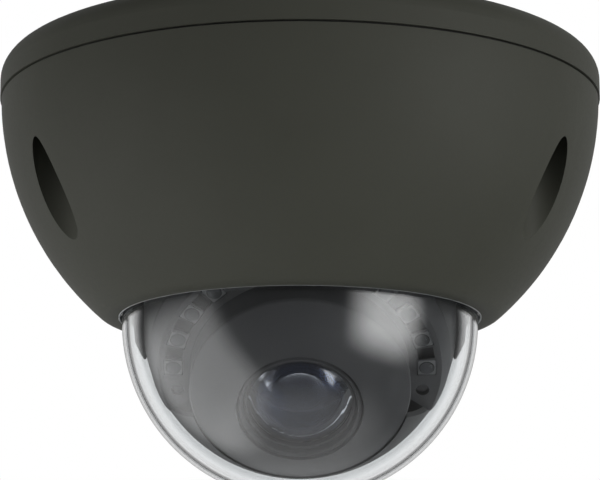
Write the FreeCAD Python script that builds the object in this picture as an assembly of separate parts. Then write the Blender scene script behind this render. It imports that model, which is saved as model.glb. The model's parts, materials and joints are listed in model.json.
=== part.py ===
import FreeCAD, Part
import math
import os

# Compact fixed-lens vandal dome camera for a ceiling.
# Origin: centre of the ceiling face.  +Z points up into the ceiling, the camera looks towards -Y.
# Azimuths are measured from -Y towards +X.  All sizes are in millimetres.

V = FreeCAD.Vector

# ------------------------------------------------------------------ housing
body_r = 61.0            # base, outside
seam_z = -8.5            # lower edge of the base skirt
edge_round = 4.8         # rounding of the base at the ceiling
floor_t = 3.0            # base floor
spigot_depth = 3.5       # base spigot below the skirt edge
spigot_t = 1.6
cover_step = 0.27        # the cover stands this much inside the base
cover_wall = 2.4
gasket_t = 0.4
gasket_w = 1.8
gasket_setback = 0.5
lip_round = 4.36         # rounding of the cover around the dome opening
lip_land = 1.24          # flat ring between that rounding and the opening
shoulder_drop = 7.3      # where the cover wall starts to curve in
fit_gap = 0.3            # between parts that are put together by hand
running = 0.05           # radial running clearance
thread_gap = 0.05        # between a screw shank and its hole

# ------------------------------------------------------------------ dome window
dome_r = 35.7
dome_wall = 1.6
dome_drop = 0.44         # centre of the dome below the lip
yoke_room = 0.8          # yoke to the inside of the dome
dome_gap = 0.8           # dome to cover opening
flange_w = 4.3
flange_t = 1.4
dome_gasket_t = 0.6
clamp_t = 2.0
clamp_ear_r = 2.2
clamp_ear_out = 1.6      # screw axis outside the flange
clamp_screw_r = 1.0
clamp_screws = 4
clamp_head = (1.9, 1.2, 0.7)     # screw head radius, height, and radius of its drive
clamp_thread_depth = 2.2
collar_gap = 0.25        # locating collar of the dome inside the cover opening
collar_rise = 0.75       # its lower edge above the centre of the dome
collar_slope = 0.25

# ------------------------------------------------------------------ cover screws
screw_count = 3
recess_r = 4.5
recess_land = 2.2        # body radius to the edge of a recess
recess_wall = 2.0
recess_roof_t = 2.5
post_r = 4.2
cover_screw_r = 2.0
cover_head_r = 3.6
cover_head_t = 2.6
oring_r = 0.45
oring_room = 0.25
oring_squeeze = 0.02
cover_head_round = 1.3
star_r = 1.4             # star drive with a pin in the middle
star_lobe_r = 0.62
star_lobe_ring = 1.35
star_floor = 0.9
star_pin_r = 0.45
star_pin_drop = 0.2
star_pin_root = 0.5
cover_thread_past = 1.5  # screw tip above the base floor's underside
cover_thread_end = 0.5

# ------------------------------------------------------------------ base fittings
ceiling_pcd = 86.0
ceiling_hole_r = 2.3
ceiling_holes = 3
cable_entry_y = 34.0
cable_hole_r = 8.0
cable_bore_r = 2.9
grommet_lip = 2.5
grommet_t = 1.2

# ------------------------------------------------------------------ electronics
board_r = 37.5
board_flat_y = 22.0
board_t = 1.6
board_gap = 4.0          # board below the base floor
board_room = 2.0         # tallest part of the board to the chassis plate
board_post_ring = 32.0
board_post_azimuths = (0.0, 115.0, 245.0)
board_post_r = 2.8
board_screw_r = 1.2
board_head = (2.2, 1.3, 0.9)
processor_size = (13.0, 13.0)
processor_t = 1.4
pad_size = (12.0, 12.0)
capacitor_r = 3.1
capacitor_foot = (6.6, 6.6)
capacitor_foot_t = 0.8
capacitor_h = 5.8
connector_wall = 0.7
pin_pitch = 1.25
pin_t = 0.5
switch_size = (6.0, 6.0)
switch_h = 3.4
switch_bore_depth = 1.8
button_proud = 1.0
button_slack = 0.2
button_travel = 0.35
button_r = 1.7
card_size = (15.0, 11.0, 0.9)
card_x = 24.0            # inner end of the seated card
card_room = 0.1
card_wall = 0.3

# ------------------------------------------------------------------ gimbal
ear_proud = 0.3          # lamp cover stands proud of the ball
yoke_gap = 0.35          # lamp cover to yoke
yoke_t = 1.15
arm_w = 15.0
arm_tip_t = 0.15         # the arms taper to this below the tilt screws
yoke_disc_r = 24.0
yoke_disc_t = 1.6
yoke_disc_gap = 0.5
hub_r = 9.0
hub_bore_r = 4.5
friction_ring_t = 1.35
chassis_t = 1.2
chassis_r = 24.0
chassis_arm_w = 9.0
chassis_ring = 44.0
chassis_azimuths = (30.0, 150.0, 270.0)
chassis_post_r = 3.5
chassis_screw_r = 1.5
chassis_head = (2.8, 1.8, 1.1)
chassis_thread = 7.0
pan_clamp_r = 13.0
pan_clamp_t = 1.2
pan_clamp_azimuths = (0.0, 120.0, 240.0)
pan_clamp_thread = 2.8
stop_tab_w = 2.4
stop_pin_r = 1.1
stop_ring = 15.5
pivot_flat_r = 7.2
pivot_boss_r = 6.0
pivot_flat_depth = 0.9
washer_t = 0.3
shoulder_r = 2.2
tilt_head_r = 3.1
tilt_head_t = 0.9
tilt_thread_r = 1.45
tilt_seat_t = 1.2        # boss between washer and screw head
tilt_drive_slot = 0.8
tilt_head_gap = 0.2
tilt_rest = 45.0         # lens axis from straight down

# ------------------------------------------------------------------ camera head, along the lens axis
front_drop = 0.9         # front face of the tilt ring below the lamp board
rear_t = -9.0            # rear face of the tilt ring
face_gap = 0.1
tilt_ring_wall = 4.15
carrier_wall = 2.45
carrier_step = 0.45
mask_under = 0.1         # mask under the ball radius
mask_wall = 1.0
cover_plate_t = 1.2
lamp_margin = 2.784      # lamp ring to the edge of the flat face around the lamps
lamp_rise = 0.1          # lamps stand proud of that face
cover_rim_wall = 0.7
ear_inner_angle = -14.0
ear_outer_angle = -25.0
lamp_row_w = 3.8         # hood to the bore of the carrier
hood_under = 0.4         # front of the hood under the ball
hood_wall = 1.2
lens_face_r = 11.75
lens_face_z = 28.35
lamp_inset = 3.3         # lamp ring outside the hood
lamp_angles = (2.0, 17.5, 33.0, 48.5)
lamp_size = 3.3
lamp_h = 2.6
lamp_lens_r = 1.3
lamp_window_gap = 0.15
lamp_cup_depth = 0.5
lamp_cup_land = 0.1
lamp_bulge = 0.975
pocket_size = (3.1, 2.6, 0.8)
sensor_hole_angle = -10.8
sensor_hole_inset = 0.2  # photocells inside the lamp ring
sensor_hole_r = 1.3
lamp_board_t = 1.2
lamp_board_gap = 0.084   # lamp board inside the mask
pillar_r = 2.2
pillar_azimuths = (30.0, 150.0, 270.0)
small_screw_r = 0.8
small_head = (1.5, 0.9, 0.5)
rear_screw_azimuths = (90.0, 210.0, 330.0)
rear_cover_t = 1.6
rear_cover_lip = 1.6
rear_wire_hole_r = 3.5
hood_flange_t = 1.2
hood_edge = 0.25
hood_mouth_gap = 0.25
hood_head_r = 1.7
hood_head_drop = 0.1
hood_head_cone = 0.85
mask_ring_t = 0.7
sensor_board_z = -4.0
sensor_board_t = 1.6
sensor_board_gap = 0.4

# ------------------------------------------------------------------ infrared filter changer
filter_travel = 7.0
filter_swing = 50.0      # degrees of the magnet arm
filter_base_z = -1.8
filter_plate_t = 0.9
filter_top_z = 3.0
filter_cover_t = 0.8
aperture_r = 3.0
tray_z = 0.6
tray_t = 1.0
tray_half_h = 4.2
tray_half_l = 7.7
pane = 6.2
pane_t = 0.5
drive_pin_r = 0.5
fork_gap = 0.15
rotor_y = 13.2
rotor_r = 2.6

# ------------------------------------------------------------------ places worked out from the sizes above
ball_r = dome_r - dome_wall - yoke_room - yoke_t - yoke_gap - ear_proud     # tilt ring, outside
mask_r = ball_r - mask_under
ear_r = ball_r + ear_proud
hood_sphere_r = ball_r - hood_under
carrier_r = ball_r - tilt_ring_wall
carrier_in = carrier_r - carrier_wall
pillar_ring = carrier_in - pillar_r
hood_r = carrier_in - lamp_row_w
lamp_ring = hood_r + lamp_inset
sensor_hole_ring = lamp_ring - sensor_hole_inset
sensor_board_r = carrier_in - sensor_board_gap
cover_plate_z = math.sqrt(ear_r ** 2 - (lamp_ring + lamp_margin) ** 2)      # flat face around the lamps
lamp_board_low = cover_plate_z + lamp_rise - lamp_h - lamp_board_t
lamp_board_high = lamp_board_low + lamp_board_t
front_t = lamp_board_low - front_drop
yoke_in = ball_r + ear_proud + yoke_gap
yoke_out = yoke_in + yoke_t
board_top = -floor_t - board_gap
board_bottom = board_top - board_t
chassis_top = board_bottom - capacitor_h - board_room
chassis_bottom = chassis_top - chassis_t
hub_top = chassis_top + running
yoke_disc_top = chassis_bottom - running - friction_ring_t
yoke_disc_bottom = yoke_disc_top - yoke_disc_t
head_c = V(0, 0, yoke_disc_bottom + running - yoke_disc_gap - yoke_in)
lip_z = head_c.z + dome_drop             # underside of the cover, around the dome
cover_r = body_r - cover_step
cover_top_z = seam_z - gasket_t
opening_r = dome_r + dome_gap
collar_r = opening_r - collar_gap
flange_r = dome_r + flange_w
post_end = seam_z - spigot_depth
recess_roof = post_end - recess_roof_t
recess_ring = body_r - recess_land - recess_r
screw_azimuths = [60.0 + 360.0 * i / screw_count for i in range(screw_count)]
ceiling_azimuths = [360.0 * i / ceiling_holes for i in range(ceiling_holes)]
clamp_azimuths = [45.0 + 360.0 * i / clamp_screws for i in range(clamp_screws)]
pivot_x = ball_r - pivot_flat_depth
tilt_seat = pivot_x + washer_t + running + tilt_seat_t
clamp_screw_ring = (hub_r + hub_bore_r) / 2


def polar(radius, azimuth, z=0.0):
    a = math.radians(azimuth)
    return V(radius * math.sin(a), -radius * math.cos(a), z)


def rod(radius, low, high, at=V(0, 0, 0)):
    return Part.makeCylinder(radius, high - low, V(at.x, at.y, low))


def tube(outer, inner, low, high, at=V(0, 0, 0)):
    return rod(outer, low, high, at).cut(rod(inner, low - 1, high + 1, at))


def block(x, y, z):
    """A box from three (low, high) pairs."""
    return Part.makeBox(x[1] - x[0], y[1] - y[0], z[1] - z[0], V(x[0], y[0], z[0]))


def centred(size, at, low, high):
    return block((at.x - size[0] / 2, at.x + size[0] / 2), (at.y - size[1] / 2, at.y + size[1] / 2), (low, high))


def turned(start, *steps):
    """Solid of revolution about Z from an (r, z) outline; a step is a point, or (middle, end) of an arc."""
    edges = []
    here = V(start[0], 0, start[1])
    for step in steps + (start,):
        if isinstance(step[0], tuple):
            middle = V(step[0][0], 0, step[0][1])
            end = V(step[1][0], 0, step[1][1])
            edges.append(Part.Arc(here, middle, end).toShape())
        else:
            end = V(step[0], 0, step[1])
            if (end - here).Length > 1e-6:
                edges.append(Part.LineSegment(here, end).toShape())
        here = end
    face = Part.Face(Part.Wire(edges))
    return face.revolve(V(0, 0, 0), V(0, 0, 1), 360)


def on_ball(radius, z):
    return (math.sqrt(radius ** 2 - z ** 2), z)


def on_height(radius, r):
    return math.sqrt(radius ** 2 - r ** 2)


def on_circle(cx, cz, radius, angle):
    a = math.radians(angle)
    return (cx + radius * math.cos(a), cz + radius * math.sin(a))


def to_apex(radius, z, bulge):
    """Arc step from (radius, z) to the axis; bulge is how far the apex stands above z."""
    sphere_r = (radius ** 2 + bulge ** 2) / (2 * abs(bulge))
    half = 0.5 * math.degrees(math.asin(radius / sphere_r))
    side = 1 if bulge > 0 else -1
    return (on_circle(0, z + bulge - side * sphere_r, sphere_r, side * (90 - half)), (0, z + bulge))


def from_apex(radius, z, bulge):
    """The same arc walked from the axis out to (radius, z)."""
    return (to_apex(radius, z, bulge)[0], (radius, z))


def joined(shapes):
    result = shapes[0]
    for s in shapes[1:]:
        result = result.fuse(s)
    return result.removeSplitter()


def without(shape, cutters):
    for c in cutters:
        shape = shape.cut(c)
    return shape


def screws(places, direction, head_sizes, shank_r, length, seat):
    """Round-head screws on Z; direction +1 points the shank up.  seat is the z under the head."""
    head_r, head_t, drive_r = head_sizes
    made = []
    for at in places:
        head_end = seat - direction * head_t
        shank_end = seat + direction * length
        head = rod(head_r, min(seat, head_end), max(seat, head_end), at)
        shank = rod(shank_r, min(seat, shank_end), max(seat, shank_end), at)
        socket_end = head_end + direction * head_t * 0.6
        drive = rod(drive_r, min(head_end, socket_end), max(head_end, socket_end), at)
        made.append(head.fuse(shank).cut(drive))
    return Part.makeCompound(made)


def along_x(shape):
    """Turn a shape made about Z so that its axis is X."""
    shape = shape.copy()
    shape.rotate(V(0, 0, 0), V(0, 1, 0), 90)
    return shape


def mirrored(shape):
    return shape.mirror(V(0, 0, 0), V(1, 0, 0))


def save(name, shape, place=None):
    if place is not None:
        shape = shape.copy()
        shape.Placement = place.multiply(shape.Placement)
    shape.exportStep("parts/%s.step" % name)


os.makedirs("parts", exist_ok=True)

# ================================================================== housing

# Cover outline: a vertical wall, one large arc, and a rounding that runs into the flat lip.
shoulder_z = -shoulder_drop
lip_centre = (opening_r + lip_land, lip_z + lip_round)
across = cover_r - lip_centre[0]
drop = shoulder_z - lip_centre[1]
arc_r = (across ** 2 + drop ** 2 - lip_round ** 2) / (2 * (across - lip_round))
arc_centre = (cover_r - arc_r, shoulder_z)
arc_end_angle = -math.degrees(math.atan2(drop, lip_centre[0] - arc_centre[0]))


def cover_radius(z, inset=0.0):
    return arc_centre[0] + math.sqrt((arc_r - inset) ** 2 - (shoulder_z - z) ** 2)


def cover_height(radius, inset=0.0):
    return shoulder_z - math.sqrt((arc_r - inset) ** 2 - (radius - arc_centre[0]) ** 2)


flange_seat = cover_height(flange_r + fit_gap, cover_wall)
flange_low = flange_seat + dome_gasket_t
flange_high = flange_low + flange_t
clamp_ring = flange_r + clamp_ear_out


def cover_solid():
    """The space inside the cover's outer surface."""
    top_angle = -math.degrees(math.asin((shoulder_z - cover_top_z) / arc_r))
    start = on_circle(*arc_centre, arc_r, top_angle)
    middle = on_circle(*arc_centre, arc_r, (top_angle + arc_end_angle) / 2)
    end = on_circle(*arc_centre, arc_r, arc_end_angle)
    lip_middle = on_circle(*lip_centre, lip_round, (arc_end_angle - 90) / 2)
    return turned((0, start[1]), start, (middle, end), (lip_middle, (lip_centre[0], lip_z)), (0, lip_z))


def cover_cavity():
    inner_r = arc_r - cover_wall
    top_angle = -math.degrees(math.asin((shoulder_z - cover_top_z) / inner_r))
    seat_angle = -math.degrees(math.asin((shoulder_z - flange_seat) / inner_r))
    start = on_circle(*arc_centre, inner_r, top_angle)
    middle = on_circle(*arc_centre, inner_r, (top_angle + seat_angle) / 2)
    end = on_circle(*arc_centre, inner_r, seat_angle)
    return turned((0, start[1] + 1), (start[0], start[1] + 1), start, (middle, end), (0, end[1]))


def cover():
    envelope = cover_solid()
    shell = envelope.cut(cover_cavity())
    bosses = [rod(recess_r + recess_wall, lip_z, post_end, polar(recess_ring, a)) for a in screw_azimuths]
    pads = [rod(clamp_ear_r, lip_z, flange_high, polar(clamp_ring, a)) for a in clamp_azimuths]
    shell = joined([shell] + [envelope.common(b) for b in bosses + pads])
    cuts = [rod(opening_r, lip_z - 1, flange_high)]
    cuts += [rod(flange_r + fit_gap, flange_seat, flange_high + clamp_t)]
    cuts += [rod(recess_r, lip_z - 5, recess_roof, polar(recess_ring, a)) for a in screw_azimuths]
    cuts += [rod(cover_screw_r + thread_gap, recess_roof - 1, post_end + 1, polar(recess_ring, a))
             for a in screw_azimuths]
    cuts += [rod(cover_screw_r + 2 * oring_r + oring_room, recess_roof - 1, recess_roof + 2 * oring_r,
                 polar(recess_ring, a)) for a in screw_azimuths]
    cuts += [rod(clamp_ear_r + fit_gap, flange_high, flange_high + 3 * clamp_t, polar(clamp_ring, a))
             for a in clamp_azimuths]
    cuts += [rod(clamp_screw_r + thread_gap, flange_high - clamp_thread_depth, flange_high + 1, polar(clamp_ring, a))
             for a in clamp_azimuths]
    return without(shell, cuts)


def base_housing():
    r = edge_round
    mid = on_circle(body_r - r, -r, r, 45)
    spigot_r = cover_radius(cover_top_z, cover_wall) - fit_gap
    dish = turned((0, 0), (body_r - r, 0), (mid, (body_r, -r)), (body_r, seam_z), (spigot_r, seam_z),
                  (spigot_r, post_end), (spigot_r - spigot_t, post_end), (spigot_r - spigot_t, -floor_t),
                  (0, -floor_t))
    inside = rod(spigot_r, post_end, -floor_t)
    added = [inside.common(rod(post_r, post_end, -floor_t, polar(recess_ring, a))) for a in screw_azimuths]
    added += [rod(board_post_r, board_top, -floor_t, polar(board_post_ring, a)) for a in board_post_azimuths]
    added += [rod(chassis_post_r, chassis_top, -floor_t, polar(chassis_ring, a)) for a in chassis_azimuths]
    dish = joined([dish] + added)
    cuts = [rod(cover_screw_r + thread_gap, post_end - 1, -floor_t - cover_thread_end, polar(recess_ring, a))
            for a in screw_azimuths]
    cuts += [rod(board_screw_r + thread_gap, board_top - 1, -floor_t, polar(board_post_ring, a))
             for a in board_post_azimuths]
    cuts += [rod(chassis_screw_r + thread_gap, chassis_top - 1, chassis_top + 8, polar(chassis_ring, a))
             for a in chassis_azimuths]
    cuts += [rod(ceiling_hole_r, -floor_t - 1, 1, polar(ceiling_pcd / 2, a)) for a in ceiling_azimuths]
    cuts += [rod(cable_hole_r, -floor_t - 1, 1, V(0, cable_entry_y, 0))]
    cuts += [rod(cable_hole_r + grommet_lip, -grommet_t, 1, V(0, cable_entry_y, 0))]
    return without(dish, cuts)


def cable_grommet():
    at = V(0, cable_entry_y, 0)
    outer = joined([rod(cable_hole_r + grommet_lip, -grommet_t, 0, at), rod(cable_hole_r, -floor_t, 0, at),
                    rod(cable_hole_r + grommet_lip / 2, -floor_t - grommet_t, -floor_t, at)])
    return outer.cut(rod(cable_bore_r, -floor_t - grommet_t - 1, 1, at))


def cover_gasket():
    outer = cover_r - gasket_setback
    return tube(outer, outer - gasket_w, cover_top_z, seam_z)


def cover_screw_orings():
    rings = [Part.makeTorus(cover_screw_r + thread_gap + oring_r, oring_r - oring_squeeze, polar(recess_ring, a,
             recess_roof + oring_r)) for a in screw_azimuths]
    return Part.makeCompound(rings)


def cover_screws():
    """Button-head security screws: a star drive with a pin standing in it."""
    made = []
    seat = recess_roof
    face = seat - cover_head_t
    for azimuth in screw_azimuths:
        at = polar(recess_ring, azimuth)
        shoulder = cover_head_r - cover_head_round
        head = turned((0, seat), (cover_head_r, seat), (cover_head_r, seat - cover_head_round),
                      (on_circle(shoulder, face + cover_head_round, cover_head_round, -45), (shoulder, face)),
                      (0, face))
        head.translate(at)
        shank = rod(cover_screw_r, seat - 0.2, -floor_t - cover_thread_past, at)
        lobes = [rod(star_lobe_r, face - 1, seat - star_floor, at + polar(star_lobe_ring, 60 * k)) for k in range(6)]
        star = joined([rod(star_r, face - 1, seat - star_floor, at)] + lobes)
        pin = rod(star_pin_r, face + star_pin_drop, seat - star_pin_root, at)
        made.append(joined([head, shank]).cut(star).fuse(pin))
    return Part.makeCompound(made)


def dome_bubble():
    r, inner = dome_r, dome_r - dome_wall
    z = head_c.z
    return turned((0, z - r), (on_circle(0, z, r, -45), (r, z)), (r, z + collar_rise),
                  (collar_r, z + collar_rise + collar_slope), (collar_r, flange_low), (flange_r, flange_low),
                  (flange_r, flange_high), (inner, flange_high), (inner, z),
                  (on_circle(0, z, inner, -45), (0, z - inner)))


def dome_gasket():
    return tube(flange_r, opening_r, flange_seat, flange_low)


def dome_clamp_ring():
    ring_overlap = clamp_ear_r - clamp_ear_out
    ring = tube(flange_r, dome_r - dome_wall + 2 * fit_gap, flange_high, flange_high + clamp_t)
    ears = []
    for a in clamp_azimuths:
        ear = rod(clamp_ear_r, flange_high, flange_high + clamp_t, polar(clamp_ring, a))
        ears.append(ear.cut(rod(flange_r - ring_overlap, flange_high - 1, flange_high + clamp_t + 1)))
    ring = joined([ring] + ears)
    return without(ring, [rod(clamp_screw_r + thread_gap, flange_high - 1, flange_high + clamp_t + 1,
                              polar(clamp_ring, a)) for a in clamp_azimuths])


def dome_clamp_screws():
    places = [polar(clamp_ring, a) for a in clamp_azimuths]
    return screws(places, -1, clamp_head, clamp_screw_r, clamp_t + 2.0, flange_high + clamp_t)


save("base_housing", base_housing())
save("cable_grommet", cable_grommet())
save("cover_gasket", cover_gasket())
save("cover", cover())
save("cover_screws", cover_screws())
save("cover_screw_orings", cover_screw_orings())
save("dome_bubble", dome_bubble())
save("dome_gasket", dome_gasket())
save("dome_clamp_ring", dome_clamp_ring())
save("dome_clamp_screws", dome_clamp_screws())

# ================================================================== electronics

processor_at = V(-6, -8, 0)
switch_at = V(-27, 2.6, 0)


def main_board():
    disc = rod(board_r, board_bottom, board_top)
    disc = disc.cut(block((-board_r, board_r), (board_flat_y, board_r), (board_bottom - 1, board_top + 1)))
    return without(disc, [rod(board_screw_r + thread_gap, board_bottom - 1, board_top + 1,
                              polar(board_post_ring, a)) for a in board_post_azimuths])


def processor():
    return centred(processor_size, processor_at, board_top, board_top + processor_t)


def thermal_pad():
    return centred(pad_size, processor_at, board_top + processor_t, -floor_t)


def board_chips():
    chips = [((9, 11), V(11, -12, 0), 1.1), ((6, 5), V(-20, -15, 0), 0.9), ((7, 7), V(-17, 3, 0), 0.9),
             ((5, 5), V(3, 9, 0), 0.9), ((4, 6), V(-2, -20, 0), 1.5), ((7, 7), V(15, 13, 0), 3.2)]
    return Part.makeCompound([centred(size, at, board_bottom - h, board_bottom) for size, at, h in chips])


def board_capacitors():
    made = []
    for at in (V(19, -21, 0), V(-12, -27, 0)):
        foot_low = board_bottom - capacitor_foot_t
        foot = centred(capacitor_foot, at, foot_low, board_bottom)
        made.append(foot.fuse(rod(capacitor_r, board_bottom - capacitor_h, foot_low, at)))
    return Part.makeCompound(made)


def board_connectors():
    made = []
    for size, at, h in (((14, 5), V(0, 18, 0), 5.0), ((8, 4.5), V(-28, -6, 0), 4.2), ((8, 4.5), V(0, -26, 0), 4.2)):
        shell = centred(size, at, board_bottom - h, board_bottom)
        room = (size[0] - 2 * connector_wall, size[1] - 2 * connector_wall)
        mouth = centred(room, at, board_bottom - h - 1, board_bottom - 1.0)
        made.append(shell.cut(mouth))
        pins = int((size[0] - 2 * pin_pitch) / pin_pitch)
        for k in range(pins):
            pin_at = at + V((k - (pins - 1) / 2) * pin_pitch, 0, 0)
            made.append(centred((pin_t, pin_t), pin_at, board_bottom - h + 0.8, board_bottom - 1.0))
    return Part.makeCompound(made)


def main_board_screws():
    places = [polar(board_post_ring, a) for a in board_post_azimuths]
    return screws(places, 1, board_head, board_screw_r, board_t + board_gap - 0.5, board_bottom)


def card_holder():
    length, width, thick = card_size
    low = board_bottom - thick - 0.35 - card_wall - card_room
    outer = block((card_x - 1.2, card_x + length - 1.8), (-width / 2 - 0.9, width / 2 + 0.9), (low, board_bottom))
    room = block((card_x - 0.4, card_x + length + 1), (-width / 2 - card_room, width / 2 + card_room),
                 (low + card_wall, low + card_wall + thick + 2 * card_room))
    return outer.cut(room)


def memory_card():
    length, width, thick = card_size
    low = board_bottom - thick - 0.35
    card = block((card_x, card_x + length), (-width / 2, width / 2), (low, low + thick))
    notch = block((card_x - 1, card_x + 6), (width / 2 - 1.2, width / 2 + 1), (low - 1, low + thick + 1))
    grip = block((card_x + length - 1.2, card_x + length + 1), (-width / 2, width / 2), (low - 1, low + 0.25))
    return card.cut(notch).cut(grip)


def reset_switch():
    body = centred(switch_size, switch_at, board_bottom - switch_h, board_bottom)
    return body.cut(rod(button_r + running, board_bottom - switch_h - 1, board_bottom - switch_h + switch_bore_depth,
                        switch_at))


def reset_button():
    low = board_bottom - switch_h
    return rod(button_r, low - button_proud, low + switch_bore_depth - button_travel - button_slack, switch_at)


save("main_board", main_board())
save("processor", processor())
save("thermal_pad", thermal_pad())
save("board_chips", board_chips())
save("board_capacitors", board_capacitors())
save("board_connectors", board_connectors())
save("main_board_screws", main_board_screws())
save("card_holder", card_holder())
save("memory_card", memory_card())
save("reset_switch", reset_switch())
save("reset_button", reset_button())

# ================================================================== chassis and pan stage


def chassis_plate():
    plates = [rod(chassis_r, chassis_bottom, chassis_top)]
    for a in chassis_azimuths:
        arm = block((-chassis_arm_w / 2, chassis_arm_w / 2), (-chassis_ring, 0), (chassis_bottom, chassis_top))
        arm.rotate(V(0, 0, 0), V(0, 0, 1), a)
        plates += [arm, rod(chassis_arm_w / 2, chassis_bottom, chassis_top, polar(chassis_ring, a))]
    plate = joined(plates)
    cuts = [rod(hub_r + running, chassis_bottom - 1, chassis_top + 1)]
    cuts += [rod(chassis_screw_r + thread_gap, chassis_bottom - 1, chassis_top + 1, polar(chassis_ring, a))
             for a in chassis_azimuths]
    cuts += [rod(stop_pin_r, chassis_bottom - 1, chassis_top + 1, polar(stop_ring, 180))]
    return without(plate, cuts)


def chassis_screws():
    places = [polar(chassis_ring, a) for a in chassis_azimuths]
    return screws(places, 1, chassis_head, chassis_screw_r, chassis_t + chassis_thread, chassis_bottom)


def pan_stop_pin():
    return rod(stop_pin_r, chassis_bottom, chassis_top + pan_clamp_t + 1.0, polar(stop_ring, 180))


def arm_taper():
    """What is taken off outside the lower end of one arm of the yoke."""
    from_z = tilt_head_r + tilt_head_gap
    start = V(on_height(yoke_out, from_z), 0, -from_z)
    tip = V(on_height(yoke_in, arm_w / 2) + arm_tip_t, 0, -arm_w / 2)
    end = tip + (tip - start) * 0.5
    far = yoke_out + 1
    points = [start, V(far, 0, start.z), V(far, 0, end.z), end, start]
    wedge = Part.Face(Part.makePolygon(points)).extrude(V(0, arm_w + 2, 0))
    return wedge.translated(head_c + V(0, -arm_w / 2 - 1, 0))


def yoke():
    """Arch of a sphere over the ball, with a disc and a hub on top of it."""
    shell = Part.makeSphere(yoke_out, head_c).cut(Part.makeSphere(yoke_in, head_c))
    half = arm_w / 2
    strip = block((-yoke_out, yoke_out), (-half, half), (head_c.z, head_c.z + yoke_out))
    strip = strip.fuse(along_x(rod(half, -yoke_out, yoke_out)).translated(head_c))
    arch = shell.common(strip)
    disc = rod(yoke_disc_r, yoke_disc_bottom, yoke_disc_top)
    hub = rod(hub_r, yoke_disc_bottom, hub_top)
    flat = pivot_x + washer_t + running
    ball_space = Part.makeSphere(yoke_out, head_c)
    bosses = [along_x(rod(pivot_boss_r, flat, yoke_out)).translated(head_c),
              along_x(rod(pivot_boss_r, -yoke_out, -flat)).translated(head_c)]
    body = joined([arch, disc, hub] + [b.common(ball_space) for b in bosses])
    cuts = [along_x(rod(shoulder_r + running, -yoke_out - 1, yoke_out + 1)).translated(head_c)]
    cuts += [along_x(rod(tilt_head_r + tilt_head_gap, tilt_seat, yoke_out + 1)).translated(head_c),
             along_x(rod(tilt_head_r + tilt_head_gap, -yoke_out - 1, -tilt_seat)).translated(head_c)]
    cuts += [arm_taper(), mirrored(arm_taper())]
    cuts += [rod(hub_bore_r, yoke_disc_bottom - 3, hub_top + 1)]
    cuts += [rod(small_screw_r + thread_gap, hub_top - 3.2, hub_top + 1, polar(clamp_screw_ring, a))
             for a in pan_clamp_azimuths]
    return without(body, cuts)


def pan_friction_ring():
    return tube(yoke_disc_r - 2, hub_r + 3, yoke_disc_top, chassis_bottom - running)


def pan_clamp():
    """Washer on top of the hub that hangs the yoke on the chassis; its tab meets the stop pin."""
    disc = rod(pan_clamp_r, hub_top, hub_top + pan_clamp_t)
    tab = block((-stop_tab_w / 2, stop_tab_w / 2), (-stop_ring - stop_pin_r, 0), (hub_top, hub_top + pan_clamp_t))
    disc = joined([disc, tab])
    cuts = [rod(hub_bore_r, hub_top - 1, hub_top + pan_clamp_t + 1)]
    cuts += [rod(small_screw_r + thread_gap, hub_top - 1, hub_top + pan_clamp_t + 1, polar(clamp_screw_ring, a))
             for a in pan_clamp_azimuths]
    return without(disc, cuts)


def pan_clamp_screws():
    places = [polar(clamp_screw_ring, a) for a in pan_clamp_azimuths]
    return screws(places, -1, small_head, small_screw_r, pan_clamp_t + pan_clamp_thread, hub_top + pan_clamp_t)


save("chassis_plate", chassis_plate())
save("chassis_screws", chassis_screws())
save("pan_stop_pin", pan_stop_pin())
save("yoke", yoke())
save("pan_friction_ring", pan_friction_ring())
save("pan_clamp", pan_clamp())
save("pan_clamp_screws", pan_clamp_screws())

# ================================================================== tilt stage
# From here on pieces are made about the lens axis: local +Z is the way the lens looks and local +Y is
# the head's up side.  head_place puts them in the dome at the rest tilt.

head_place = FreeCAD.Placement(head_c, FreeCAD.Rotation(V(1, 0, 0), 180.0 - tilt_rest))


def tilt_ring():
    ball = Part.makeSphere(ball_r)
    band = ball.common(rod(ball_r, rear_t, front_t))
    band = band.cut(rod(carrier_r + running, rear_t - 1, front_t + 1))
    cuts = []
    for side in (-1, 1):
        low, high = sorted((side * pivot_x, side * (ball_r + 1)))
        cuts.append(along_x(rod(pivot_flat_r, low, high)))
        low, high = sorted((side * (carrier_r - 1), side * ball_r))
        cuts.append(along_x(rod(tilt_thread_r + thread_gap, low, high)))
    return without(band, cuts)


def tilt_washers():
    washer = along_x(tube(pivot_boss_r - 0.5, shoulder_r + 0.1, pivot_x, pivot_x + washer_t))
    return Part.makeCompound([washer, mirrored(washer)])


def tilt_screws():
    head = rod(tilt_head_r, tilt_seat + running, tilt_seat + running + tilt_head_t)
    slot = block((-tilt_head_r, tilt_head_r), (-tilt_drive_slot / 2, tilt_drive_slot / 2),
                 (tilt_seat + running + tilt_head_t / 2, tilt_seat + tilt_head_t + 1))
    cross = slot.copy()
    cross.rotate(V(0, 0, 0), V(0, 0, 1), 90)
    slots = slot.fuse(cross).common(rod(tilt_head_r * 0.6, tilt_seat, tilt_seat + tilt_head_t + 1))
    shoulder = rod(shoulder_r, pivot_x, tilt_seat + running)
    thread = rod(tilt_thread_r, carrier_r + running + 0.3, pivot_x)
    screw = along_x(joined([head, shoulder, thread]).cut(slots))
    return Part.makeCompound([screw, mirrored(screw)])


save("tilt_ring", tilt_ring(), head_place)
save("tilt_washers", tilt_washers(), head_place)
save("tilt_screws", tilt_screws(), head_place)

# ================================================================== camera head

mask_low = front_t + face_gap
flange_top = lamp_board_low - 0.2
pillar_top = flange_top - hood_flange_t


def at_angle(ring, angle, z=0.0):
    """Place on the face of the head: angle from local +X towards local +Y."""
    a = math.radians(angle)
    return V(ring * math.cos(a), ring * math.sin(a), z)


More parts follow.
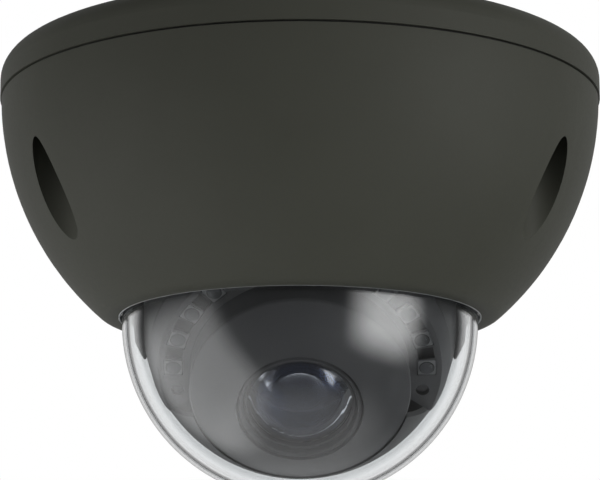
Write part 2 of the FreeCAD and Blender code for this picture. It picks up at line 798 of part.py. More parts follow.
def head_carrier():
    body = turned((carrier_in, rear_t - face_gap), (carrier_r, rear_t - face_gap), (carrier_r, front_t),
                  (carrier_r - carrier_step, front_t), (carrier_r - carrier_step, lamp_board_low),
                  (carrier_in, lamp_board_low))
    wall = rod(carrier_in + 0.5, sensor_board_z, pillar_top)
    pillars = [rod(pillar_r, sensor_board_z, pillar_top, at_angle(pillar_ring, a)).common(wall)
               for a in pillar_azimuths]
    body = joined([body, tube(carrier_in + 0.5, carrier_in - 2.4, sensor_board_z, sensor_board_z + 1.6)] + pillars)
    cuts = [rod(small_screw_r + thread_gap, sensor_board_z - 1, sensor_board_z + 4, at_angle(pillar_ring, a))
            for a in pillar_azimuths]
    cuts += [rod(small_screw_r + thread_gap, pillar_top - 4, pillar_top + 1, at_angle(pillar_ring, a))
             for a in pillar_azimuths]
    cuts += [rod(small_screw_r + thread_gap, rear_t - 1, rear_t + 4, at_angle(carrier_r - carrier_wall / 2, a))
             for a in rear_screw_azimuths]
    return without(body, cuts)


def rear_cover():
    outer = carrier_r + rear_cover_lip
    disc = rod(outer, rear_t - face_gap - rear_cover_t, rear_t - face_gap)
    cuts = [rod(small_screw_r + thread_gap, rear_t - 4, rear_t + 1, at_angle(carrier_r - carrier_wall / 2, a))
            for a in rear_screw_azimuths]
    cuts.append(rod(rear_wire_hole_r, rear_t - 4, rear_t + 1))
    return without(disc, cuts)


def mask_zone(radius, wall, top):
    """Ring between a sphere and the hood, from the ball's front edge up to top."""
    shell = Part.makeSphere(radius).cut(Part.makeSphere(radius - wall))
    return shell.common(tube(radius, hood_r + 0.1, mask_low, top))


def ear_wedge(inner, outer):
    """The sector of the head's face above two slanted lower edges."""
    far = ball_r * 1.2
    inner_points = [at_angle(hood_r - 2, inner), at_angle(hood_r - 2, 180 - inner)]
    points = [inner_points[0], at_angle(far, outer), at_angle(far * 1.5, 30), at_angle(far * 1.5, 90),
              at_angle(far * 1.5, 150), at_angle(far, 180 - outer), inner_points[1], V(0, -2, 0)]
    face = Part.Face(Part.makePolygon(points + [points[0]]))
    return face.extrude(V(0, 0, ball_r))


def front_mask():
    """Lower part of the head's face, with a ring that carries it all the way round."""
    zone = mask_zone(mask_r, mask_wall, ball_r).cut(ear_wedge(ear_inner_angle, ear_outer_angle))
    ring = turned((carrier_r - carrier_step + running, mask_low), on_ball(mask_r, mask_low),
                  (on_ball(mask_r, mask_low + mask_ring_t / 2), on_ball(mask_r, mask_low + mask_ring_t)),
                  (carrier_r - carrier_step + running, mask_low + mask_ring_t))
    return joined([zone, ring])


def lamp_cover():
    """Black cover around the hood with openings for the infrared lamps, raised over the mask."""
    low = mask_low + mask_ring_t
    rim = mask_zone(ear_r, cover_rim_wall, cover_plate_z).common(rod(ear_r, low, cover_plate_z))
    plate = Part.makeSphere(ear_r - 0.05).common(tube(ear_r, hood_r + 0.1, cover_plate_z - cover_plate_t,
                                                      cover_plate_z))
    body = joined([rim, plate]).common(ear_wedge(ear_inner_angle, ear_outer_angle))
    return without(body, lamp_cuts())


def both_sides(angles):
    return list(angles) + [180 - a for a in angles]


def facing(shape, ring, angle):
    """Put a shape made at the origin on the face, turned to its angle."""
    shape = shape.copy()
    shape.rotate(V(0, 0, 0), V(0, 0, 1), angle)
    shape.translate(at_angle(ring, angle))
    return shape


def lamp_cuts():
    opening = lamp_size + 2 * lamp_window_gap
    window = centred((opening, opening), V(0, 0, 0), cover_plate_z - 5, cover_plate_z + 5)
    pocket = centred(pocket_size[:2], V(0, 0, 0), cover_plate_z - pocket_size[2], cover_plate_z + 5)
    pitch = lamp_angles[1] - lamp_angles[0]
    cuts = [facing(window, lamp_ring, a) for a in both_sides(lamp_angles)]
    cuts += [facing(pocket, lamp_ring, a + pitch / 2) for a in lamp_angles[:-1]]
    cuts += [facing(pocket, lamp_ring, 180 - a - pitch / 2) for a in lamp_angles[:-1]]
    hole = rod(sensor_hole_r, cover_plate_z - 5, cover_plate_z + 5)
    cuts += [facing(hole, sensor_hole_ring, a) for a in both_sides((sensor_hole_angle,))]
    return cuts


def lamp_board():
    outer = on_height(mask_r - mask_wall, lamp_board_high) - lamp_board_gap
    return tube(outer, hood_r + fit_gap, lamp_board_low, lamp_board_high)


def infrared_lamps():
    made = []
    top = lamp_board_high + lamp_h
    for a in both_sides(lamp_angles):
        package = centred((lamp_size, lamp_size), V(0, 0, 0), lamp_board_high, top)
        cup = turned((0, top - lamp_cup_depth), (lamp_lens_r * 0.8, top - lamp_cup_depth),
                     (lamp_lens_r + running, top - lamp_cup_land), (lamp_lens_r + running, top + 1), (0, top + 1))
        made.append(facing(package.cut(cup), lamp_ring, a))
    return Part.makeCompound(made)


def lamp_lenses():
    made = []
    top = lamp_board_high + lamp_h
    for a in both_sides(lamp_angles):
        bead = turned((0, top - lamp_cup_depth), (lamp_lens_r * 0.8, top - lamp_cup_depth),
                      (lamp_lens_r, top - lamp_cup_land), to_apex(lamp_lens_r, top - lamp_cup_land, lamp_bulge))
        made.append(facing(bead, lamp_ring, a))
    return Part.makeCompound(made)


def light_sensors():
    cell = rod(sensor_hole_r - 0.15, lamp_board_high, cover_plate_z - 0.7)
    return Part.makeCompound([facing(cell, sensor_hole_ring, a) for a in both_sides((sensor_hole_angle,))])


def lens_hood():
    """Cup around the lens: a foot on the carrier, a straight wall and a front that follows the ball."""
    inner = hood_r - hood_wall
    mouth = lens_face_r + hood_mouth_gap
    mid_r = (hood_r + mouth) / 2
    under = hood_sphere_r - hood_wall
    edge = hood_edge
    return turned((inner, pillar_top), (carrier_in - 0.2, pillar_top),
                  (carrier_in - 0.2, flange_top), (hood_r, flange_top),
                  (hood_r, on_height(hood_sphere_r, hood_r) - edge),
                  (hood_r - edge, on_height(hood_sphere_r, hood_r - edge)),
                  ((mid_r, on_height(hood_sphere_r, mid_r)), (mouth, on_height(hood_sphere_r, mouth))),
                  (mouth, on_height(under, mouth)),
                  ((mid_r - 0.5, on_height(under, mid_r - 0.5)), (inner, on_height(under, inner)))).cut(hood_cuts())


def hood_cuts():
    made = []
    for a in pillar_azimuths:
        wide, narrow = hood_head_r + fit_gap, small_screw_r + thread_gap
        cone = turned((0, flange_top + 0.1), (wide, flange_top + 0.1), (wide, flange_top - hood_head_drop),
                      (narrow, flange_top - hood_head_drop - hood_head_cone - running), (narrow, pillar_top - 1),
                      (0, pillar_top - 1))
        cone.translate(at_angle(pillar_ring, a))
        made.append(cone)
    return Part.makeCompound(made)


def hood_screws():
    made = []
    for a in pillar_azimuths:
        top = flange_top - hood_head_drop
        screw = turned((0, top), (hood_head_r, top), (small_screw_r, top - hood_head_cone),
                       (small_screw_r, pillar_top - 3.5), (0, pillar_top - 3.5))
        screw = screw.cut(rod(small_head[2], top - 0.6, top + 1))
        screw.translate(at_angle(pillar_ring, a))
        made.append(screw)
    return Part.makeCompound(made)


save("head_carrier", head_carrier(), head_place)
save("rear_cover", rear_cover(), head_place)
save("front_mask", front_mask(), head_place)
save("lamp_cover", lamp_cover(), head_place)
save("lamp_board", lamp_board(), head_place)
save("infrared_lamps", infrared_lamps(), head_place)
save("lamp_lenses", lamp_lenses(), head_place)
save("light_sensors", light_sensors(), head_place)
save("lens_hood", lens_hood(), head_place)
save("hood_screws", hood_screws(), head_place)

# ================================================================== lens

filter_cover_top = filter_top_z + filter_cover_t
holder_flange_t = 1.4
holder_r = 8.6
barrel_r = 6.95
holder_top = 14.0
barrel_low = filter_cover_top + 1.6
lock_ring_t = 1.5
front_glass_r = 10.4
glass_seat = 24.2        # shoulder that the front glass rests on
front_apex = 31.0
front_curve_r = 12.6
rear_curve = (7.4, 1.2)  # radius of the hollow rear face and its rise
glass_gap = 0.2          # front glass in its bore
bore_flare = 0.35
baffles = ((8.7, 23.3), (7.8, 22.6))     # steps behind the front glass, radius and z
element_bore_r = 6.4
rear_bore = ((5.2, 19.5), (4.6, 12.0))
ring_in_r = 9.9
ring_top = 27.3
ring_lift = 0.03
neck_r = 9.5


def lens_surface(r):
    """Height of the front glass's outer face at radius r."""
    return front_apex - front_curve_r + on_height(front_curve_r, r)


def lens_barrel():
    z = holder_top + lock_ring_t + fit_gap
    bore = front_glass_r + glass_gap
    outline = [(barrel_r, barrel_low), (barrel_r, z), (neck_r, z + 1.5), (neck_r, z + 4.5), (lens_face_r, z + 7.0),
               (lens_face_r, lens_face_z), (bore + bore_flare, lens_face_z), (bore, ring_top), (bore, glass_seat)]
    at = glass_seat
    for radius, floor in baffles:
        outline += [(radius, at), (radius, floor)]
        at = floor
    outline += [(element_bore_r, at), (element_bore_r, rear_bore[0][1]), rear_bore[0],
                (rear_bore[0][0], rear_bore[1][1]), rear_bore[1]]
    return turned((rear_bore[1][0], barrel_low), *outline)


def front_lens():
    """Meniscus: a strongly curved front face and a hollow rear face."""
    edge = lens_surface(front_glass_r)
    hollow_r, rise = rear_curve
    return turned((0, glass_seat + rise), from_apex(hollow_r, glass_seat, rise), (front_glass_r, glass_seat),
                  (front_glass_r, edge), to_apex(front_glass_r, edge, front_apex - edge))


def lens_ring():
    """Thin threaded ring that holds the front glass in the barrel."""
    low = lens_surface(ring_in_r) + ring_lift
    outer = front_glass_r + glass_gap - thread_gap
    bevel = 0.15
    return turned((ring_in_r, low), (outer, low), (outer, ring_top - bevel), (outer - bevel, ring_top),
                  (ring_in_r + bevel, ring_top), (ring_in_r, ring_top - bevel))


def lens_elements():
    """Three glasses inside the barrel, each a biconvex disc with a flat rim."""
    made = []
    for radius, centre, rim, bulge in ((6.3, 21.8, 1.2, 1.1), (5.1, 16.4, 1.0, 0.9), (4.5, 8.8, 1.0, 0.8)):
        low, high = centre - rim / 2, centre + rim / 2
        made.append(turned((0, low - bulge), from_apex(radius, low, -bulge), (radius, high),
                           to_apex(radius, high, bulge)))
    return Part.makeCompound(made)


def lens_lock_ring():
    return tube(holder_r, barrel_r + thread_gap, holder_top, holder_top + lock_ring_t)


def lens_holder():
    plate = centred((20.6, 17.4), V(0, 0.35, 0), filter_cover_top, filter_cover_top + holder_flange_t)
    body = joined([plate, rod(holder_r, filter_cover_top, holder_top)])
    cuts = [rod(barrel_r + thread_gap, filter_cover_top + 1.2, holder_top + 1), rod(4.6, 0, holder_top)]
    cuts += [rod(small_screw_r + thread_gap, 0, holder_top, at) for at in holder_places()]
    return without(body, cuts)


def holder_places():
    return [V(-8.5, -6.4, 0), V(8.5, -6.4, 0), V(-8.5, 7.1, 0), V(8.5, 7.1, 0)]


save("lens_barrel", lens_barrel(), head_place)
save("front_lens", front_lens(), head_place)
save("lens_ring", lens_ring(), head_place)
save("lens_elements", lens_elements(), head_place)
save("lens_lock_ring", lens_lock_ring(), head_place)
save("lens_holder", lens_holder(), head_place)

# ================================================================== infrared filter changer
# The magnet rotor turns half of filter_swing each way from the middle; its pin pushes the tray across.

half_swing = math.radians(filter_swing / 2)
pin_ring = filter_travel / (2 * math.sin(half_swing))
cavity_top = filter_top_z
coil_y = rotor_y + 6.2
coil_r = 2.4
base_inner_z = filter_base_z + filter_plate_t
housing_legs = (-10.6, 10.6)


def filter_housing():
    low = filter_base_z
    body = joined([block((-12.6, 12.6), (-8.2, 8.9), (low, cavity_top)),
                   block((-7.2, 7.2), (0, coil_y + coil_r + 0.9), (low, cavity_top))])
    tray_room = block((-filter_travel / 2 - tray_half_l - 0.3, filter_travel / 2 + tray_half_l + 0.3),
                      (-tray_half_h - 0.1, tray_half_h + 0.3), (base_inner_z, cavity_top + 1))
    arm_room = block((-6.0, 6.0), (0, coil_y + coil_r + 0.1), (base_inner_z, cavity_top + 1))
    aperture = rod(aperture_r, low - 1, cavity_top)
    cuts = [tray_room, arm_room, aperture]
    cuts += [rod(small_screw_r + thread_gap, 0, cavity_top + 1, at) for at in holder_places()]
    body = without(body, cuts)
    legs = [rod(1.7, sensor_board_z, low + 0.4, V(x, 0, 0)) for x in housing_legs]
    body = joined([body, rod(0.55, base_inner_z - 0.2, filter_top_z, V(0, rotor_y, 0))] + legs)
    return without(body, [rod(small_screw_r + thread_gap, sensor_board_z - 1, low + 0.2, V(x, 0, 0))
                          for x in housing_legs])


def filter_cover():
    plate = joined([block((-12.6, 12.6), (-8.2, 8.9), (filter_top_z, filter_cover_top)),
                    block((-7.2, 7.2), (0, coil_y + coil_r + 0.9), (filter_top_z, filter_cover_top))])
    cuts = [rod(4.6, filter_top_z - 1, filter_cover_top + 1)]
    cuts += [rod(small_screw_r + thread_gap, 0, filter_cover_top + 1, at) for at in holder_places()]
    return without(plate, cuts)


def filter_tray():
    """Frame with two windows and a fork for the drive pin, at the daytime end of its travel."""
    middle = filter_travel / 2
    frame = block((middle - tray_half_l, middle + tray_half_l), (-tray_half_h, tray_half_h),
                  (tray_z, tray_z + tray_t))
    half_fork = drive_pin_r + fork_gap
    fork_top = rotor_y - pin_ring * math.cos(half_swing) + drive_pin_r + 0.5
    prongs = block((middle - half_fork - 0.8, middle + half_fork + 0.8), (0, fork_top), (tray_z, tray_z + tray_t))
    body = joined([frame, prongs])
    slot = block((middle - half_fork, middle + half_fork), (rotor_y - pin_ring - drive_pin_r - 0.15, fork_top + 1),
                 (tray_z - 1, tray_z + tray_t + 1))
    cuts = [slot]
    for x in (0.0, filter_travel):
        cuts.append(centred((pane, pane), V(x, 0, 0), tray_z + tray_t - pane_t, tray_z + tray_t + 1))
        cuts.append(centred((pane - 1.0, pane - 1.0), V(x, 0, 0), tray_z - 1, tray_z + tray_t + 1))
    return without(body, cuts)


def filter_pane(x):
    return centred((pane - 0.1, pane - 0.1), V(x, 0, 0), tray_z + tray_t - pane_t, tray_z + tray_t)


def filter_rotor():
    """Magnet with a thin arm behind the tray and a pin through its fork, at the daytime end."""
    at = V(0, rotor_y, 0)
    low = base_inner_z + 0.2
    arm_high = tray_z - 0.2
    magnet = tube(rotor_r, 0.6, low, filter_top_z - 0.3)
    arm = block((-0.9, 0.9), (-pin_ring, 0), (low, arm_high))
    tip = rod(0.9, low, arm_high, V(0, -pin_ring, 0))
    pin = rod(drive_pin_r, low, tray_z + tray_t + 0.3, V(0, -pin_ring, 0))
    body = joined([magnet, arm, tip, pin]).cut(rod(0.6, low - 1, filter_top_z))
    body.rotate(V(0, 0, 0), V(0, 0, 1), filter_swing / 2)
    body.translate(at)
    return body


def coil_yoke():
    """Steel frame that carries the coil and reaches past both sides of the magnet."""
    low, high = 0.0, 2.4
    core = block((-5.6, 5.6), (coil_y - 0.8, coil_y + 0.8), (low + 0.4, high - 0.4))
    legs = [block((x, x + 1.2), (rotor_y - 2.4, coil_y + 1.2), (low, high)) for x in (-5.6, 4.4)]
    return joined([core] + legs)


def filter_coil():
    winding = block((-4.3, 4.3), (coil_y - coil_r + 0.2, coil_y + coil_r - 0.2), (base_inner_z + 0.2, 2.9))
    return winding.cut(block((-5, 5), (coil_y - 0.85, coil_y + 0.85), (0.35, 2.05)))


save("filter_housing", filter_housing(), head_place)
save("filter_cover", filter_cover(), head_place)
save("filter_tray", filter_tray(), head_place)
save("infrared_cut_glass", filter_pane(0.0), head_place)
save("clear_glass", filter_pane(filter_travel), head_place)
save("filter_rotor", filter_rotor(), head_place)
save("coil_yoke", coil_yoke(), head_place)
save("filter_coil", filter_coil(), head_place)

# ================================================================== image sensor

sensor_size = (9.0, 8.0)
sensor_t = 1.3


def sensor_board():
    low = sensor_board_z - sensor_board_t
    board = rod(sensor_board_r, low, sensor_board_z)
    cuts = [rod(small_screw_r + thread_gap, low - 1, sensor_board_z + 1, at_angle(pillar_ring, a))
            for a in pillar_azimuths]
    cuts += [rod(small_screw_r + thread_gap, low - 1, sensor_board_z + 1, V(x, 0, 0)) for x in housing_legs]
    return without(board, cuts)


def image_sensor():
    return centred(sensor_size, V(0, 0, 0), sensor_board_z, sensor_board_z + sensor_t)


def sensor_seal():
    high = filter_base_z
    outer = centred((sensor_size[0] + 3.0, sensor_size[1] + 3.0), V(0, 0, 0), sensor_board_z, high)
    return outer.cut(centred((sensor_size[0] + 0.4, sensor_size[1] + 0.4), V(0, 0, 0), sensor_board_z - 1, high + 1))


def sensor_board_parts():
    low = sensor_board_z - sensor_board_t
    parts = [((7, 7), V(8, 8, 0), 0.9), ((4, 4), V(-10, 9, 0), 0.9), ((14, 4), V(0, -15, 0), 2.4)]
    return Part.makeCompound([centred(size, at, low - h, low) for size, at, h in parts])


def head_screws():
    """All the small round-head screws of the head: rear cover, sensor board, filter housing, lens holder."""
    low = sensor_board_z - sensor_board_t
    seat = filter_cover_top + holder_flange_t
    rear = rear_t - face_gap - rear_cover_t
    groups = [
        ([at_angle(carrier_r - carrier_wall / 2, a) for a in rear_screw_azimuths], 1, rear_cover_t + 3.2, rear),
        ([at_angle(pillar_ring, a) for a in pillar_azimuths], 1, sensor_board_t + 3.5, low),
        ([V(x, 0, 0) for x in housing_legs], 1, sensor_board_t + filter_base_z - sensor_board_z, low),
        (holder_places(), -1, seat - 0.2, seat)]
    made = []
    for places, direction, length, under_head in groups:
        made += screws(places, direction, small_head, small_screw_r, length, under_head).Solids
    return Part.makeCompound(made)


save("sensor_board", sensor_board(), head_place)
save("image_sensor", image_sensor(), head_place)
save("sensor_seal", sensor_seal(), head_place)
save("sensor_board_parts", sensor_board_parts(), head_place)
save("head_screws", head_screws(), head_place)
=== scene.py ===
import json
import math

import bmesh
import bpy
from mathutils import Matrix, Vector


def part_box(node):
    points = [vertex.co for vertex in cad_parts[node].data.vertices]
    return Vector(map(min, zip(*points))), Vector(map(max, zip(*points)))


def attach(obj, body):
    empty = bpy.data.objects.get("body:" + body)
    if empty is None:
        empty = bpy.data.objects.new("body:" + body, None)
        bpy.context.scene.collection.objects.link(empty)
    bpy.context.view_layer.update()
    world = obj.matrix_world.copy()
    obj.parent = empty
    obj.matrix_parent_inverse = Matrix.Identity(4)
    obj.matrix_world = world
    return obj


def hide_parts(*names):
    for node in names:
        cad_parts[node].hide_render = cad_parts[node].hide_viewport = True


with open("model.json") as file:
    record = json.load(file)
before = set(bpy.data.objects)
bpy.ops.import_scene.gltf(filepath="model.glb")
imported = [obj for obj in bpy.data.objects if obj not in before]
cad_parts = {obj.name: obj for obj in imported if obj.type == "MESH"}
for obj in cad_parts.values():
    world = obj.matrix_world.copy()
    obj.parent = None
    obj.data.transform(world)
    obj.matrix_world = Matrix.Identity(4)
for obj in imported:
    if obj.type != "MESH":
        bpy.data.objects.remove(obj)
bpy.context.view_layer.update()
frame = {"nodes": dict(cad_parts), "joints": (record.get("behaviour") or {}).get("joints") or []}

# ---------------------------------------------------------------- base and cover
# Two die-cast aluminium shells, shot-blasted, then powder coated in one colour and
# cured.  The cover is drawn up to the base by three screws; a gasket shows as the seam.

MM = 0.001
part = frame["nodes"]


def colour(hexadecimal):
    """A display colour such as "3d3e38" as the linear light that shaders mix."""
    channels = [int(hexadecimal[i:i + 2], 16) / 255 for i in (0, 2, 4)]
    return [c / 12.92 if c <= 0.04045 else ((c + 0.055) / 1.055) ** 2.4 for c in channels] + [1.0]


def put(tree, kind, settings=None, sockets=None):
    """Add one node: settings are its options, sockets its numbers, colours, or the outputs that feed it."""
    made = tree.nodes.new(kind)
    for name, value in (settings or {}).items():
        setattr(made, name, value)
    for name, value in (sockets or {}).items():
        if isinstance(value, bpy.types.NodeSocket):
            tree.links.new(value, made.inputs[name])
        else:
            made.inputs[name].default_value = value
    return made


def finish_named(name, sockets):
    """A new material; gives it with its tree, its shader and the piece's own coordinates."""
    material = bpy.data.materials.new(name)
    material.use_nodes = True
    tree = material.node_tree
    tree.nodes.clear()
    shader = put(tree, "ShaderNodeBsdfPrincipled", None, sockets)
    put(tree, "ShaderNodeOutputMaterial", None, {"Surface": shader.outputs[0]})
    place = put(tree, "ShaderNodeTexCoord").outputs["Object"]
    return material, tree, shader, place


def vary(tree, shader, pattern, tones=None, rough=None):
    """Let a pattern carry the colour between two tones, the roughness between two values, or both."""
    if tones:
        dark, light = (colour(tone) for tone in tones)
        tone = put(tree, "ShaderNodeMix", {"data_type": "RGBA"}, {0: pattern, 6: dark, 7: light})
        tree.links.new(tone.outputs[2], shader.inputs["Base Color"])
    if rough:
        smoothest, roughest = rough
        gloss = put(tree, "ShaderNodeMapRange", None,
                    {"Value": pattern, "To Min": smoothest, "To Max": roughest})
        tree.links.new(gloss.outputs[0], shader.inputs["Roughness"])


cloud_share = 0.06      # scale of the tone's patches against that of the grain


def grained(name, dark, light, grain, depth, rough, sockets=None):
    """A moulded or sprayed finish: two close tones, uneven gloss, a relief of that grain and depth in mm."""
    material, tree, shader, place = finish_named(name, sockets)
    relief = put(tree, "ShaderNodeTexNoise", None,
                 {"Vector": place, "Scale": 1 / (grain * MM), "Detail": 2.0})
    cloud = put(tree, "ShaderNodeTexNoise", None,
                {"Vector": place, "Scale": cloud_share / (grain * MM), "Detail": 3.0})
    vary(tree, shader, cloud.outputs[0], tones=(dark, light))
    vary(tree, shader, relief.outputs[0], rough=rough)
    bump = put(tree, "ShaderNodeBump", None,
               {"Height": relief.outputs[0], "Distance": depth * MM, "Strength": 1.0})
    tree.links.new(bump.outputs[0], shader.inputs["Normal"])
    return material


def dress(material, *nodes):
    """Give CAD nodes a finish."""
    for name in nodes:
        for held in part[name].material_slots:
            held.material = material


# Powder coat: a thick matt skin with a faint orange peel.  It keeps one even dark tone all
# round, with no hot edge, because the relief spreads the light at a low angle.
powder_coat = grained("olive_black_powder_coat", "393a33", "3d3e37", 0.7, 0.012, (0.56, 0.68),
                      {"Specular IOR Level": 0.22})
dress(powder_coat, "base_housing", "cover")

# ---------------------------------------------------------------- seals
# Moulded silicone rubber: a flat gasket between base and cover, one under the dome's
# flange, rings under the screw heads, and the plug that the network cable comes through.

# Silicone rubber: dense matt black with a dusty bloom, so its edges look soft.
seal_rubber = grained("moulded_silicone_rubber", "101010", "171716", 0.5, 0.01, (0.72, 0.86),
                      {"Specular IOR Level": 0.3, "Sheen Weight": 0.12, "Sheen Roughness": 0.5})
dress(seal_rubber, "cover_gasket", "dome_gasket", "cover_screw_orings", "sensor_seal")


def turned(name, place, start, *steps, rounds=128, fine=3.0):
    """A piece of revolution about its own Z, drawn in mm as an outline and spun once round.

    A step is (r, z), (r, z, corner radius), or ("arc", centre r, centre z, degrees)."""
    bm = bmesh.new()
    tip = bm.verts.new((start[0], 0, start[1]))
    corners = {}
    for step in steps:
        if step[0] == "arc":
            angle = math.radians(step[3])
            count = max(3, round(abs(step[3]) / fine))
            swept = bmesh.ops.spin(bm, geom=[tip], cent=(step[1], 0, step[2]), axis=(0, 1, 0),
                                   angle=angle, steps=count)
            tip = [g for g in swept["geom_last"] if isinstance(g, bmesh.types.BMVert)][0]
        else:
            tip = bmesh.ops.extrude_vert_indiv(bm, verts=[tip])["verts"][0]
            tip.co = (step[0], 0, step[1])
            if len(step) == 3:
                corners.setdefault(step[2], []).append(tip)
    for radius, tips in corners.items():
        bmesh.ops.bevel(bm, geom=tips, offset=radius, offset_type="OFFSET", segments=4, profile=0.5,
                        affect="VERTICES", material=-1)
    bmesh.ops.remove_doubles(bm, verts=bm.verts[:], dist=1e-5)
    bmesh.ops.spin(bm, geom=bm.verts[:] + bm.edges[:], cent=(0, 0, 0), axis=(0, 0, 1), angle=math.tau,
                   steps=rounds, use_merge=True)
    bmesh.ops.remove_doubles(bm, verts=bm.verts[:], dist=1e-5)
    bmesh.ops.recalc_face_normals(bm, faces=bm.faces[:])
    return laid(name, bm, place)


def laid(name, bm, place, sharp=32):
    """Finish a bmesh: an object at the origin, its place in its mesh, smooth between sharp edges."""
    bmesh.ops.transform(bm, matrix=place, verts=bm.verts[:])
    mesh = bpy.data.meshes.new(name)
    bm.to_mesh(mesh)
    bm.free()
    mesh.shade_smooth()
    mesh.set_sharp_from_angle(angle=math.radians(sharp))
    piece = bpy.data.objects.new(name, mesh)
    bpy.context.scene.collection.objects.link(piece)
    return piece


def fitted(piece, material, body, slot, *stands_for):
    """Give a new piece its finish, its body and the CAD nodes that it stands for; slot is not used."""
    piece.data.materials.append(material)
    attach(piece, body)
    if stands_for:
        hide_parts(*stands_for)
    return piece


millimetres = Matrix.Scale(MM, 4)
low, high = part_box("cable_grommet")
entry = (low + high) / 2
entry_place = Matrix.Translation((entry.x, entry.y, 0)) @ millimetres
cable_r, lip_r, neck_r, brim_r = 2.9, 9.25, 8.0, 10.5
lip_low, lip_high, brim_low = -4.2, -3.0, -1.2
groove_top, groove_floor, groove_low = (7.0, 4.4), (6.4, 4.9), -0.6
grommet = turned("cable_grommet_moulding", entry_place,
                 (cable_r, lip_low), (lip_r, lip_low, 0.5), (lip_r, lip_high, 0.3), (neck_r, lip_high),
                 (neck_r, brim_low), (brim_r, brim_low, 0.2), (brim_r, 0.0, 0.5),
                 (groove_top[0], 0.0, 0.3), (groove_floor[0], groove_low, 0.3),
                 (groove_floor[1], groove_low, 0.3), (groove_top[1], 0.0, 0.3),
                 (cable_r, 0.0, 0.4), (cable_r, lip_low), rounds=72)
fitted(grommet, seal_rubber, "housing", "seal_rubber", "cable_grommet")

# ---------------------------------------------------------------- dome window
# Injection-moulded optical polycarbonate, 1.6 mm thick and hard coated, with a flange that
# the clamp ring presses on its gasket.

pivot = Vector(next(j["pos_m"] for j in frame["joints"] if j["name"] == "tilt"))
dome_place = Matrix.Translation(pivot) @ millimetres
dome_r, dome_wall, flange_r = 35.7, 1.6, 40.0
flange_low, flange_high = 5.1, 6.5
collar_r, collar_low, collar_slope = 36.25, 0.75, 0.25
dome = turned("dome_window", dome_place,
              (0, -dome_r), ("arc", 0, 0, -90), (dome_r, collar_low),
              (collar_r, collar_low + collar_slope, 0.2),
              (collar_r, flange_low), (flange_r, flange_low, 0.2),
              (flange_r, flange_high, 0.2), (dome_r - dome_wall, flange_high, 0.3), (dome_r - dome_wall, 0),
              ("arc", 0, 0, 90), rounds=192, fine=1.5)

# Polycarbonate: bends the light more than glass, so the rim of the bubble shows its wall as
# bright bands.  Lamps shine straight through it, as through any window.
polycarbonate, tree, shader, place = finish_named("clear_polycarbonate", {
    "Base Color": colour("f7f9fa"), "Transmission Weight": 1.0, "IOR": 1.585, "Roughness": 0.0})
cloud = put(tree, "ShaderNodeTexNoise", None, {"Vector": place, "Scale": 60.0, "Detail": 2.0})
vary(tree, shader, cloud.outputs[0], rough=(0.0, 0.012))
passing = put(tree, "ShaderNodeBsdfTransparent", None, {"Color": colour("f2f4f5")})
ray = put(tree, "ShaderNodeLightPath")
through = put(tree, "ShaderNodeMixShader", None,
              {0: ray.outputs["Is Shadow Ray"], 1: shader.outputs[0], 2: passing.outputs[0]})
tree.links.new(through.outputs[0], tree.nodes["Material Output"].inputs["Surface"])
fitted(dome, polycarbonate, "housing", "dome_clear", "dome_bubble")

# The locating collar's edge is a pale, partly clear ring that serves as a painted highlight,
# so it shows as a pale line all round under the cover.
edge_in_r, edge_r, edge_low, edge_high = collar_r - 0.05, 36.42, 0.45, 1.6
collar_painted_highlight = turned("dome_collar_painted_highlight", dome_place,
                     (edge_in_r, edge_low), (edge_r, edge_low, 0.08), (edge_r, edge_high),
                     (edge_in_r, edge_high), (edge_in_r, edge_low), rounds=192)
# Pale colour here is a painted highlight along the collar's edge.
pale_painted_highlight = grained("pale_painted_highlight_polycarbonate", "b9bcbe", "c6c9ca", 0.4, 0.01, (0.4, 0.6),
                  {"Transmission Weight": 0.3})
fitted(collar_painted_highlight, pale_painted_highlight, "housing", "dome_clear")

# ---------------------------------------------------------------- fasteners and sheet steel
# Stainless security screws hold the cover, plain ones the dome ring, boards, chassis and
# head.  The chassis plate, coil frame and stop pin are zinc-plated sheet and bar.

# Stainless steel: turned heads, so the tone runs in fine close rings.
stainless, tree, shader, place = finish_named("turned_stainless_steel", {"Metallic": 1.0})
lines = put(tree, "ShaderNodeTexNoise", None, {"Vector": place, "Scale": 2400.0, "Detail": 1.0})
vary(tree, shader, lines.outputs[0], tones=("a9a8a4", "c6c5c0"), rough=(0.22, 0.4))
dress(stainless, "cover_screws", "dome_clamp_screws", "main_board_screws", "chassis_screws",
      "pan_clamp_screws", "tilt_screws", "hood_screws", "head_screws")

# Zinc plate: a dull blue-grey metal whose crystals show as a faint mottle.
zinc, tree, shader, place = finish_named("zinc_plated_sheet_steel", {"Metallic": 1.0})
spangle = put(tree, "ShaderNodeTexVoronoi", None, {"Vector": place, "Scale": 450.0})
vary(tree, shader, spangle.outputs["Color"], tones=("9a9d9f", "b9bcbd"))
vary(tree, shader, spangle.outputs[0], rough=(0.32, 0.5))
dress(zinc, "chassis_plate", "coil_yoke", "pan_stop_pin", "card_holder")

# ---------------------------------------------------------------- electronics
# A round glass-epoxy board under the base floor carries the processor, memory, sockets, a
# card holder and a reset key; a small one behind the lens carries the image sensor.

# Solder mask: green lacquer over copper, so tracks show as slightly paler lines.
solder_mask, tree, shader, place = finish_named("green_solder_mask", {"Roughness": 0.32, "Coat Weight": 0.3})
tracks = put(tree, "ShaderNodeTexBrick", {"offset": 0.37}, {
    "Vector": place, "Scale": 300.0, "Mortar Size": 0.03,
    "Color1": colour("0d4a2a"), "Color2": colour("0f5230"), "Mortar": colour("2a7a48")})
tree.links.new(tracks.outputs[0], shader.inputs["Base Color"])
dress(solder_mask, "main_board", "sensor_board")

# Moulded epoxy: dull black chips with a fine matt grain.
epoxy = grained("moulded_chip_epoxy", "17171a", "1d1d20", 0.15, 0.006, (0.5, 0.65))
dress(epoxy, "processor", "board_chips", "sensor_board_parts")

# Thermal pad: soft blue-grey silicone.
thermal = grained("silicone_thermal_pad", "767c86", "868c96", 0.4, 0.02, (0.75, 0.9))
dress(thermal, "thermal_pad")

